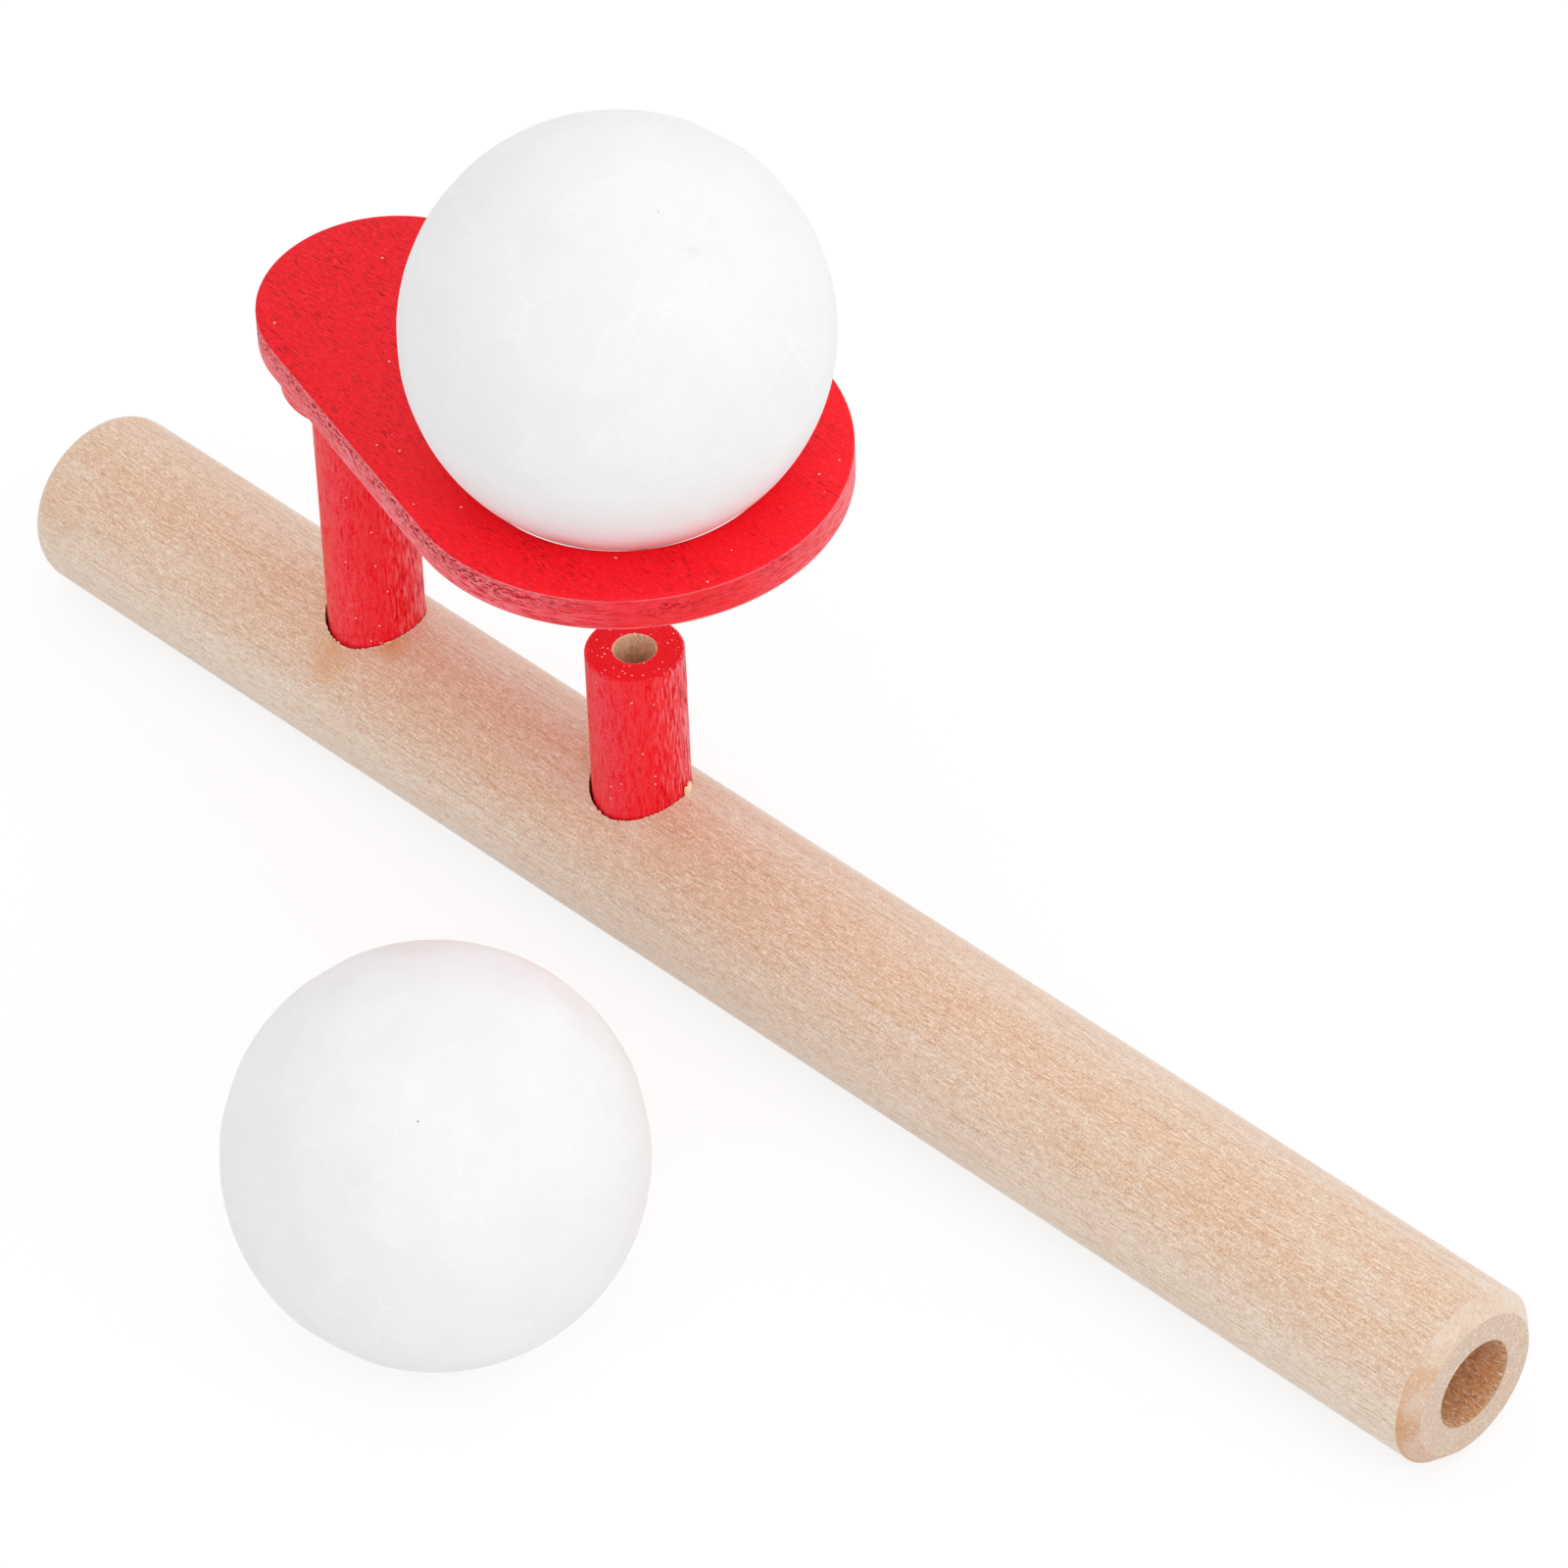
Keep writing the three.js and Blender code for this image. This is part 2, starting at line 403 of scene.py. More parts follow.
def shade(mesh, crease):
    """Smooth shading, but sharp along edges steeper than the crease angle in degrees."""
    mesh.polygons.foreach_set("use_smooth", np.ones(len(mesh.polygons), dtype=bool))
    mesh.set_sharp_from_angle(angle=math.radians(crease))


def grid_piece(name, points, row_slots, materials, wrap_rows=False, crease=CREASE):
    """Mesh object over a grid of points. Each band of quads takes the slot of the row that it starts from."""
    rows, columns = points.shape[:2]
    bands = row_slots if wrap_rows else row_slots[:-1]
    quads = quads_of(rows, columns, wrap_rows)
    return piece_from(name, points, quads, np.repeat(bands, columns), materials, crease)


def threads(name, paths, widths, materials, sides=6):
    """Round threads along paths: each ring is the path's point plus half the width times cosine and sine
    along two directions square to the path. Widths end in zero, so the ends close."""
    count, steps = paths.shape[:2]
    along = np.gradient(paths, axis=1)
    along /= np.linalg.norm(along, axis=-1, keepdims=True)
    first = np.cross(along, SLANT)
    first /= np.linalg.norm(first, axis=-1, keepdims=True)
    second = np.cross(along, first)
    turn = np.linspace(0, 2 * math.pi, sides, endpoint=False)[:, None]
    rings = first[:, :, None] * np.cos(turn) + second[:, :, None] * np.sin(turn)
    points = paths[:, :, None] + rings * widths[:, :, None, None] / 2
    quads = quads_of(steps, sides, False)
    quads = (quads[None] + (np.arange(count) * steps * sides)[:, None, None]).reshape(-1, 4)
    return piece_from(name, points, quads, np.zeros(len(quads)), materials)


def drill(piece, name, x, y, floor, radius, materials):
    """Cuts a round socket that stands on the floor given and runs out over the pipe's top."""
    top = PIPE_HIGH.z + 2 * PIPE_RADIUS
    rows, slots = joined(
        (run((floor, 0), (floor, radius), 4), DRILLED),
        (run((floor, radius), (top, radius), 40), DRILLED),
        (run((top, radius), (top, 0), 4), DRILLED))
    cutter = grid_piece(name, turned(rows, SOCKET_COLUMNS, "Z") + (x, y, 0), slots, materials)
    cut = piece.modifiers.new(name, "BOOLEAN")
    cut.object = cutter
    cut.operation = "DIFFERENCE"
    cut.solver = "EXACT"
    with bpy.context.temp_override(object=piece, active_object=piece):
        bpy.ops.object.modifier_apply(modifier=cut.name)
    bpy.data.objects.remove(cutter)
    shade(piece.data, CREASE)


def place(piece, body, slot, *nodes):
    """The piece rides on a body and stands for the nodes named, which it hides. Its slot is not used."""
    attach(piece, body)
    if nodes:
        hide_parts(*nodes)


# Materials


def add(tree, kind, settings):
    """One node. Each setting is a property, or an input with its value or the node or socket that feeds
    it."""
    node = tree.nodes.new("ShaderNode" + kind)
    for key, value in settings.items():
        if isinstance(key, str) and key in node.bl_rna.properties:
            setattr(node, key, value)
            continue
        socket = node.inputs[key]
        if isinstance(value, bpy.types.Node):
            value = next(output for output in value.outputs if output.enabled)
        if isinstance(value, bpy.types.NodeSocket):
            tree.links.new(value, socket)
        else:
            socket.default_value = (*value, 1) if socket.type == "RGBA" else value
    return node


def new_material(name):
    material = bpy.data.materials.new(name)
    material.use_nodes = True
    material.node_tree.nodes.clear()
    return material, material.node_tree


def here(tree):
    """Place on the toy, in metres."""
    return add(tree, "TexCoord", {}).outputs["Object"]


def cells_of(tree, size):
    """Place on the toy, counted in cells of the length, width and height given in millimetres."""
    scale = tuple(side * MM for side in size)
    return add(tree, "Mapping", {"vector_type": "TEXTURE", "Vector": here(tree), "Scale": scale})


def blots(tree, size, detail=3, roughness=0.6):
    """Noise from 0 to 1 whose blots have the length, width and height given in millimetres."""
    return add(tree, "TexNoise", {
        "Vector": cells_of(tree, size), "Scale": 1, "Detail": detail, "Roughness": roughness})


def layer(tree, under, over, value, start, end, reach=1):
    """One colour laid over another. Its share goes from zero where the value passes start to reach at end."""
    share = add(tree, "MapRange", {"Value": value, "From Min": start, "From Max": end, "To Max": reach})
    return add(tree, "Mix", {"data_type": "RGBA", MIX_FACTOR: share, MIX_FIRST: under, MIX_SECOND: over})


def spot(tree, under, over, centre, inner, outer, reach):
    """One colour laid over another round a point, from an inner to an outer distance in millimetres, with a
    ragged rim."""
    away = add(tree, "VectorMath", {"operation": "DISTANCE", 0: here(tree), 1: centre})
    rim = add(tree, "Math", {
        "operation": "MULTIPLY_ADD", 0: blots(tree, (2, 2, 2)), 1: (outer - inner) * MM, 2: away})
    return layer(tree, under, over, rim, 1.2 * outer * MM, 1.2 * inner * MM, reach)


def band(tree, under, over, direction, middle, half_width, reach):
    """One colour laid over another in a band square to a direction, strongest at its middle, in metres."""
    along = add(tree, "VectorMath", {"operation": "DOT_PRODUCT", 0: here(tree), 1: direction})
    off = add(tree, "Math", {"operation": "SUBTRACT", 0: along, 1: middle})
    size = add(tree, "Math", {"operation": "ABSOLUTE", 0: off})
    return layer(tree, under, over, size, half_width, 0, reach)


def side_share(tree, direction, start, end, least=0, most=1):
    """Share that goes from least to most between two distances along a direction, in metres."""
    along = add(tree, "VectorMath", {"operation": "DOT_PRODUCT", 0: here(tree), 1: direction})
    return add(tree, "MapRange", {
        "Value": along, "From Min": start, "From Max": end, "To Min": least, "To Max": most})


def drifts(tree, size, start, end, most=1):
    """Share from zero to most in soft clouds whose length, width and height are given in millimetres."""
    return add(tree, "MapRange", {
        "Value": blots(tree, size), "From Min": start, "From Max": end, "To Max": most})


def specks(tree, under, over, spacing, width, chance):
    """Round specks: cells of a spacing in millimetres have one of a width, with the chance given."""
    cells = add(tree, "TexVoronoi", {"Vector": cells_of(tree, (spacing,) * 3), "Scale": 1})
    lot = add(tree, "SeparateColor", {"Color": cells.outputs["Color"]})
    chosen = add(tree, "Math", {"operation": "LESS_THAN", 0: lot.outputs["Red"], 1: chance})
    edge = width / spacing / 2
    return layer(tree, under, over, cells.outputs["Distance"], 1.2 * edge, 0.7 * edge, chosen)


def finished(tree, settings):
    """Principled surface on the material's output."""
    surface = add(tree, "BsdfPrincipled", settings)
    add(tree, "OutputMaterial", {"Surface": surface})


def sanded_hardwood(finish):
    """Pale close-grained hardwood, turned and sanded, left bare: soft lengthwise bands, rosier on the upper
    front side, paler on its underside as painted bounce light from the table, thin long streaks, short
    dark pores and light fibres along the stick, fine flecks of its rays across it, and a dry bloom at a
    glancing view. The finest flecks are drawn 0.13 mm wide, nearly twice their real width, to show."""
    material, tree = new_material("sanded_hardwood")
    base = layer(tree, finish.pale_wood, finish.rosy_wood, blots(tree, (90, 3.2, 3.2)), 0.4, 0.62, 0.6)
    level = PIPE_AXIS * FRONT_SIDE[2]
    front = side_share(tree, FRONT_SIDE, level + 0.2 * PIPE_RADIUS, level + PIPE_RADIUS, most=0.8)
    base = layer(tree, base, finish.rosy_wood, blots(tree, (20, 6, 6)), 0.2, 0.5, front)
    base = layer(tree, base, finish.rosy_wood, blots(tree, (22, 0.5, 0.5)), 0.48, 0.62, 0.5)
    # Painted bounce light: the pipe's underside is made paler, as if lit from the table
    level = PIPE_AXIS * LOW_SIDE[2]
    under = side_share(tree, LOW_SIDE, level + 0.1 * PIPE_RADIUS, level + 0.7 * PIPE_RADIUS, most=0.55)
    base = layer(tree, base, finish.pale_wood, blots(tree, (20, 6, 6)), 0.2, 0.5, under)
    base = layer(tree, base, finish.pore_brown, blots(tree, (12, 0.24, 0.24)), 0.54, 0.66, 0.3)
    fibres = blots(tree, (1.1, 0.13, 0.13))
    base = layer(tree, base, finish.pore_brown, fibres, 0.57, 0.62, 0.45)
    base = layer(tree, base, finish.ray_fleck, fibres, 0.44, 0.38, 0.6)
    flecks = blots(tree, (0.13, 0.26, 0.26))
    base = layer(tree, base, finish.warm_mark, flecks, 0.55, 0.61, 0.4)
    base = layer(tree, base, finish.ray_fleck, flecks, 0.45, 0.39, 0.5)
    base = spot(tree, base, finish.warm_mark, GLUE_MARK, inner=1, outer=4, reach=0.6)
    base = spot(tree, base, finish.warm_mark, GLUE_RUN, inner=0.8, outer=2.8, reach=0.7)
    base = spot(tree, base, finish.warm_mark, END_MARK, inner=1, outer=6, reach=0.3)
    relief = add(tree, "Math", {"operation": "SUBTRACT", 0: fibres, 1: flecks})
    bump = add(tree, "Bump", {"Height": relief, "Strength": 0.5, "Distance": 0.03 * MM, "invert": True})
    finished(tree, {
        "Base Color": base, "Normal": bump, "Roughness": 0.6, "IOR": 1.45, "Specular IOR Level": 0.35,
        "Sheen Weight": 0.4, "Sheen Roughness": 0.35})
    return material


def burnished_chamfer(finish):
    """The same hardwood where the tool cut and pressed it at the mouth: smoother, a little warmer, with
    painted light at the top and painted shade lower down, and a broken orange line there where the
    chamfer starts."""
    material, tree = new_material("burnished_chamfer")
    base = layer(tree, finish.burnished_wood, finish.pale_wood, blots(tree, (5, 3, 3)), 0.4, 0.62, 0.5)
    level = PIPE_AXIS * UPPER_BACK[2]
    # Painted light: the chamfer's upper side is made paler
    high = side_share(tree, UPPER_BACK, level - 0.2 * PIPE_RADIUS, level + 0.8 * PIPE_RADIUS, most=0.5)
    base = layer(tree, base, finish.pale_wood, blots(tree, (3, 2, 2)), 0.2, 0.4, high)
    # Painted shade: brown blots on the chamfer's lower side
    low = side_share(tree, UPPER_BACK, level + 0.2 * PIPE_RADIUS, level - PIPE_RADIUS, most=0.7)
    base = layer(tree, base, finish.pore_brown, blots(tree, (3, 1.2, 1.2)), 0.2, 0.7, low)
    flecks = blots(tree, (0.3, 0.2, 0.3))
    base = layer(tree, base, finish.ray_fleck, flecks, 0.52, 0.66, 0.3)
    base = layer(tree, base, finish.pore_brown, flecks, 0.46, 0.34, 0.2)
    base = band(tree, base, finish.warm_mark, TO_MOUTH, *CHAMFER_LINE, low)
    bump = add(tree, "Bump", {"Height": flecks, "Strength": 0.4, "Distance": 0.04 * MM})
    finished(tree, {
        "Base Color": base, "Normal": bump, "Roughness": 0.5, "IOR": 1.45, "Specular IOR Level": 0.4,
        "Sheen Weight": 0.3, "Sheen Roughness": 0.4})
    return material


def sawn_end_grain(finish):
    """End grain of the same hardwood, sawn and lightly sanded: greyer, with year rings and pinprick pores."""
    material, tree = new_material("sawn_end_grain")
    base = layer(tree, finish.end_grain, finish.rosy_wood, blots(tree, (8, 7, 0.8)), 0.4, 0.62, 0.3)
    pores = blots(tree, (0.3, 0.2, 0.2))
    base = layer(tree, base, finish.pore_brown, pores, 0.56, 0.64, 0.3)
    base = layer(tree, base, finish.ray_fleck, pores, 0.45, 0.36, 0.6)
    bump = add(tree, "Bump", {"Height": pores, "Strength": 0.6, "Distance": 0.08 * MM, "invert": True})
    finished(tree, {
        "Base Color": base, "Normal": bump, "Roughness": 0.7, "IOR": 1.45, "Specular IOR Level": 0.3,
        "Sheen Weight": 0.2, "Sheen Roughness": 0.5})
    return material


def drilled_wall(name, finish, colour, torn_share, wool_size, torn_size):
    """Wall of a hole drilled in the hardwood: torn and woolly, warmer than its outside, with pale fibres."""
    material, tree = new_material(name)
    wool = blots(tree, wool_size)
    base = layer(tree, colour, finish.pore_brown, wool, 0.45, 0.65, torn_share)
    torn = blots(tree, torn_size)
    base = layer(tree, base, finish.fibre, torn, 0.55, 0.64, 0.85)
    bump = add(tree, "Bump", {"Height": torn, "Strength": 1, "Distance": 0.25 * MM})
    finished(tree, {
        "Base Color": base, "Normal": bump, "Roughness": 0.85, "IOR": 1.45, "Specular IOR Level": 0.2,
        "Sheen Weight": 0.3, "Sheen Roughness": 0.5})
    return material


def loose_fibre(finish):
    """Fine loose wood fibres, straw pale and dull."""
    material, tree = new_material("loose_fibre")
    base = layer(tree, finish.fibre, finish.drilled_wood, blots(tree, (0.5, 0.5, 0.5)), 0.35, 0.7, 0.6)
    finished(tree, {"Base Color": base, "Roughness": 0.8, "IOR": 1.45, "Specular IOR Level": 0.3})
    return material


def painted_face(finish):
    """Red satin paint on the sanded face of the plate: thin, so the wood's open pores show as short dark
    dashes along the grain, closer over the post than before the hole, with a few specks of dust and a
    painted shade that darkens it a little towards the post's end."""
    material, tree = new_material("painted_face")
    mottle = blots(tree, (0.5, 0.2, 0.2))
    # Painted shade: the face grows a little darker towards the post's end
    painted_shade_to_post = side_share(tree, TO_POST, 0, PLATE_HIGH.x, most=0.14)
    base = layer(tree, finish.red_paint, finish.deep_paint_and_shade, blots(tree, (20, 6, 6)), 0.2, 0.4, painted_shade_to_post)
    base = layer(tree, base, finish.deep_paint_and_shade, mottle, 0.52, 0.75, 0.12)
    base = layer(tree, base, finish.thin_paint_and_sheen, mottle, 0.46, 0.3, 0.45)
    pores = blots(tree, (1.2, 0.13, 0.4), detail=2)
    over_post = side_share(tree, TO_POST, -0.5 * PLATE_HIGH.x, PLATE_HIGH.x, least=0.05, most=0.65)
    base = layer(tree, base, finish.deep_paint_and_shade, pores, 0.58, 0.63, over_post)
    clouds = drifts(tree, (9, 2.2, 3), 0.47, 0.6, 0.75)
    base = layer(tree, base, finish.deep_paint_and_shade, pores, 0.57, 0.62, clouds)
    base = specks(tree, base, finish.dust, spacing=0.7, width=0.2, chance=0.025)
    relief = add(tree, "Math", {"operation": "ADD", 0: pores, 1: mottle})
    bump = add(tree, "Bump", {"Height": relief, "Strength": 0.6, "Distance": 0.05 * MM, "invert": True})
    finished(tree, {
        "Base Color": base, "Normal": bump, "Roughness": 0.45, "IOR": 1.5, "Specular IOR Level": 0.16})
    return material


def painted_edge(finish):
    """Red paint on the sawn edge of a board: it sank into the fibres, so the edge is stringy, with layers
    along it. A painted sheen makes it paler on its left and a little on its right, and the light line on
    either arris is partly wear and partly painted highlight. Small dark torn pits without gloss lie in its
    upper half, all along the left and in clouds elsewhere, their darkness partly painted shade in hollows."""
    material, tree = new_material("painted_edge")
    strings = blots(tree, (1.6, 1.6, 0.14))
    # Painted sheen: paler pink on the grazing left and right of the edge
    left = side_share(tree, RIGHT_SIDE, 0, -0.6 * PLATE_HIGH.x, most=0.9)
    right = side_share(tree, RIGHT_SIDE, 0.45 * PLATE_HIGH.x, PLATE_HIGH.x, most=0.7)
    base = layer(tree, finish.red_paint, finish.thin_paint_and_sheen, strings, 0.46, 0.6, 0.45)
    base = layer(tree, base, finish.worn_paint_and_highlight, strings, 0.45, 0.5, left)
    base = layer(tree, base, finish.worn_paint_and_highlight, strings, 0.45, 0.5, right)
    base = layer(tree, base, finish.deep_paint_and_shade, strings, 0.43, 0.37, 0.4)
    base = layer(tree, base, finish.deep_paint_and_shade, blots(tree, (12, 12, 0.4)), 0.56, 0.7, 0.25)
    pits = blots(tree, (0.6, 0.6, 0.22))
    clouds = drifts(tree, (7, 7, 3), 0.46, 0.6, 0.6)
    pitted = add(tree, "Math", {"operation": "MAXIMUM", 0: clouds, 1: left})
    # The torn pits' dark paint is partly painted shade in the hollows
    torn = layer(tree, BLACK, WHITE, pits, 0.54, 0.58, pitted)
    torn = band(tree, BLACK, torn, UP, *TORN_PITS, 1)
    base = layer(tree, base, finish.deep_paint_and_shade, torn, 0.1, 0.9)
    # The arris lines are partly worn paint and partly painted highlight
    worn = drifts(tree, (6, 6, 6), 0.3, 0.5, 0.7)
    base = band(tree, base, finish.worn_paint_and_highlight, UP, *UPPER_ARRIS_LINE, worn)
    base = band(tree, base, finish.worn_paint_and_highlight, UP, *LOWER_ARRIS_LINE, worn)
    relief = add(tree, "Math", {"operation": "SUBTRACT", 0: strings, 1: torn})
    bump = add(tree, "Bump", {"Height": relief, "Strength": 0.8, "Distance": 0.2 * MM})
    gloss = add(tree, "MapRange", {"Value": torn, "From Max": 0.5, "To Min": 0.35, "To Max": 0})
    finished(tree, {
        "Base Color": base, "Normal": bump, "Roughness": 0.4, "IOR": 1.5, "Specular IOR Level": gloss})
    return material


def painted_dowel(name, finish, middle_x):
    """Red gloss paint brushed on an upright hardwood dowel: the grain stands up under it as wavy upright
    ridges, most on the right side, where their crests carry painted highlights and their valleys painted
    shade. Elsewhere lie a fine orange peel, paler on the left as painted sheen, pinprick pores and dust,
    and a dark line in the paint at the nick."""
    material, tree = new_material(name)
    axis = middle_x * RIGHT_SIDE[0]
    near, far = axis + 0.2 * DOWEL_RADIUS, axis + 0.85 * DOWEL_RADIUS
    # Painted highlight on the ridges' crests and painted shade in their valleys, both growing towards the lit
    # right side
    crests = side_share(tree, RIGHT_SIDE, near, far, least=0.05, most=0.9)
    painted_valley_shade = side_share(tree, RIGHT_SIDE, near, far, least=0.04, most=0.65)
    # Painted sheen: the peel's paler paint grows towards the grazing left side
    left = side_share(tree, RIGHT_SIDE, near, axis - 0.9 * DOWEL_RADIUS, least=0.25, most=0.8)
    ridges = blots(tree, (0.26, 0.26, 1.7))
    peel = blots(tree, (0.2, 0.2, 0.3))
    base = layer(tree, finish.red_paint, finish.thin_paint_and_sheen, peel, 0.5, 0.58, left)
    base = layer(tree, base, finish.deep_paint_and_shade, peel, 0.42, 0.34, 0.35)
    base = layer(tree, base, finish.deep_paint_and_shade, ridges, 0.44, 0.36, painted_valley_shade)
    base = layer(tree, base, finish.worn_paint_and_highlight, ridges, 0.53, 0.58, crests)
    base = specks(tree, base, finish.dust, spacing=0.6, width=0.17, chance=0.12)
    beside = add(tree, "VectorMath", {"operation": "DISTANCE", 0: here(tree), 1: NICK})
    near_nick = add(tree, "MapRange", {
        "Value": beside, "From Min": NICK_GONE, "From Max": NICK_FULL, "To Max": 0.5})
    middle = NICK[2] - NICK_SLOPE * NICK[0]
    base = band(tree, base, finish.deep_paint_and_shade, (-NICK_SLOPE, 0, 1), middle, NICK_HALF_WIDTH, near_nick)
    fine = add(tree, "Math", {"operation": "MULTIPLY", 0: peel, 1: 0.3})
    relief = add(tree, "Math", {"operation": "MULTIPLY_ADD", 0: ridges, 1: crests, 2: fine})
    bump = add(tree, "Bump", {"Height": relief, "Strength": 1, "Distance": 0.3 * MM})
    gloss = add(tree, "MapRange", {"Value": ridges, "From Min": 0.35, "From Max": 0.5, "To Max": 0.3})
    finished(tree, {
        "Base Color": base, "Normal": bump, "Roughness": 0.3, "IOR": 1.5, "Specular IOR Level": gloss})
    return material


def painted_end(finish):
    """Red paint soaked into a dowel's sawn end: deep and even, with pinprick pores and plenty of dust."""
    material, tree = new_material("painted_end")
    pores = blots(tree, (0.22, 0.22, 0.22))
    base = layer(tree, finish.red_paint, finish.deep_paint_and_shade, pores, 0.52, 0.66, 0.5)
    base = layer(tree, base, finish.thin_paint_and_sheen, pores, 0.44, 0.32, 0.3)
    base = specks(tree, base, finish.dust, spacing=0.4, width=0.15, chance=0.45)
    bump = add(tree, "Bump", {"Height": pores, "Strength": 0.7, "Distance": 0.1 * MM, "invert": True})
    finished(tree, {
        "Base Color": base, "Normal": bump, "Roughness": 0.45, "IOR": 1.5, "Specular IOR Level": 0.12})
    return material


def bead_foam(finish, foam):
    """White expanded polystyrene, steam-fused from beads: a matt skin whose beads differ a very little in
    tone and gloss, with faint seams between them, fine grain, a few dark specks, and light that sinks in."""
    material, tree = new_material("bead_foam")
    width = foam.bead_width / MM
    bent = add(tree, "VectorMath", {
        "operation": "MULTIPLY_ADD", 0: blots(tree, (3, 3, 3)).outputs["Color"], 1: (0.35,) * 3,
        2: cells_of(tree, (width,) * 3)})
    beads = add(tree, "TexVoronoi", {"Vector": bent, "Scale": 1})
    edges = add(tree, "TexVoronoi", {"Vector": bent, "Scale": 1, "feature": "DISTANCE_TO_EDGE"})
    lot = add(tree, "SeparateColor", {"Color": beads.outputs["Color"]})
    base = layer(tree, finish.foam, finish.foam_shade, lot.outputs["Red"], 0.4, 1, 0.5)
    base = layer(tree, base, finish.foam_shade, blots(tree, (7, 7, 7)), 0.45, 0.65, 0.6)
    parted = drifts(tree, (9, 9, 9), 0.45, 0.62, 0.55)
    base = layer(tree, base, finish.foam_seam, edges.outputs["Distance"], 0.05, 0.015, parted)
    skin = blots(tree, (0.5, 0.5, 0.5))
    base = layer(tree, base, finish.foam_shade, skin, 0.5, 0.7, 0.7)
    base = specks(tree, base, finish.foam_speck, spacing=2.4, width=0.25, chance=0.05)
    base = spot(tree, base, finish.foam_speck, SMUDGE, inner=0.3, outer=0.9, reach=0.14)
    sunk = add(tree, "MapRange", {"Value": edges, "From Max": 0.06, "To Max": 0.12})
    relief = add(tree, "Math", {"operation": "MULTIPLY_ADD", 0: skin, 1: 0.3, 2: sunk})
    bump = add(tree, "Bump", {"Height": relief, "Strength": 0.3, "Distance": 0.12 * MM})
    gloss = add(tree, "MapRange", {"Value": lot.outputs["Green"], "To Min": 0.5, "To Max": 0.6})
    finished(tree, {
        "Base Color": base, "Normal": bump, "Roughness": gloss, "IOR": 1.45, "Specular IOR Level": 0.3,
        "Subsurface Weight": 0.25, "Subsurface Radius": (1, 1, 1), "Subsurface Scale": 1.5 * MM})
    return material


# Pieces


def pipe_profile(pipe):
    """Closed profile of the pipe from the middle of its closed end, along the outside, round the mouth
    and back down the channel to the drill's tip, as [along, radius]."""
    low, high, radius = PIPE_LOW.x, PIPE_HIGH.x, PIPE_RADIUS
    bore = pipe.channel_diameter / 2
    arris = pipe.mouth_arris
    cut = arris * math.tan(math.radians(CHAMFER_SLOPE / 2))
    lip = pipe.mouth_arris / 2
    channel_end = NOZZLE_LOW.x - pipe.socket_clearance - pipe.channel_past_nozzle
    tip = channel_end - bore / math.tan(pipe.drill_tip / 2)
    shoulder = high - pipe.mouth_chamfer
    face = radius - pipe.mouth_chamfer
    end_centre = (low + pipe.end_rounding, radius - pipe.end_rounding)
    return joined(
        (run((low, 0), (low, radius - pipe.end_rounding), 10), END_GRAIN),
        (arc(end_centre, pipe.end_rounding, 180, GRAIN_LIMIT, 10), END_GRAIN),
        (arc(end_centre, pipe.end_rounding, GRAIN_LIMIT, 90, 10), SANDED),
        (run((low + pipe.end_rounding, radius), (shoulder - cut, radius), 240), SANDED),
        (arc((shoulder - cut, radius - arris), arris, 90, CHAMFER_SLOPE, 5), CHAMFER),
        (arc((high - arris, face - cut), arris, CHAMFER_SLOPE, 0, 5), CHAMFER),
        (run((high, face - cut), (high, bore + lip), 8), END_GRAIN),
        (arc((high - lip, bore + lip), lip, 0, -90, 4), END_GRAIN),
        (run((high - lip, bore), (channel_end, bore), 100), DRILLED),
        (run((channel_end, bore), (tip, 0), 8), DRILLED))


def slivers(way, rng, count, thin, thick):
    """Widths of threads that swell from a point at either end: an arch over the way, times a width drawn
    between thin and thick, which are in millimetres."""
    return rng.uniform(thin, thick, (count, 1)) * MM * np.sqrt(1 - (2 * way - 1) ** 2)


def bore_fibres(count, mouth, wall, deepest, longest, rng):
    """Loose fibres in the mouth of a drilled hole: each leaves the wall, leans along it and curls inwards.
    Gives how far they lie along the hole, their two distances from its middle, and their widths."""
    way = np.linspace(0, 1, FIBRE_POINTS)
    turn = rng.uniform(0, 2 * math.pi, (count, 1))
    depth = deepest * rng.uniform(0, 1, (count, 1)) ** 2
    reach = longest * rng.uniform(0.3, 1, (count, 1))
    lean = rng.uniform(-0.6, 0.6, (count, 1))
    lift = rng.uniform(0.1, 0.45, (count, 1))
    radius = wall - lift * reach * way * (1.6 - way)
    around = turn + lean * reach / wall * way
    along = mouth - FIRST_DEPTH - depth - (1 - np.abs(lean)) * reach * way
    return along, radius * np.cos(around), radius * np.sin(around), slivers(way, rng, count, *FIBRE_WIDTHS)


def channel_fibres(name, pipe, material, rng):
    """Loose fibres in the channel's mouth."""
    along, across, up, widths = bore_fibres(
        CHANNEL_FIBRES, PIPE_HIGH.x, pipe.channel_diameter / 2, CHANNEL_FIBRE_DEPTH, CHANNEL_FIBRE_LENGTH,
        rng)
    return threads(name, np.stack([along, across, PIPE_AXIS + up], axis=-1), widths, [material])


def nozzle_fibres(name, dowels, material, rng):
    """Loose fibres in the nozzle's mouth."""
    up, along, across, widths = bore_fibres(
        NOZZLE_FIBRES, NOZZLE_HIGH.z, dowels.nozzle_bore / 2, NOZZLE_FIBRE_DEPTH, NOZZLE_FIBRE_LENGTH, rng)
    return threads(name, np.stack([along, across, up], axis=-1), widths, [material])


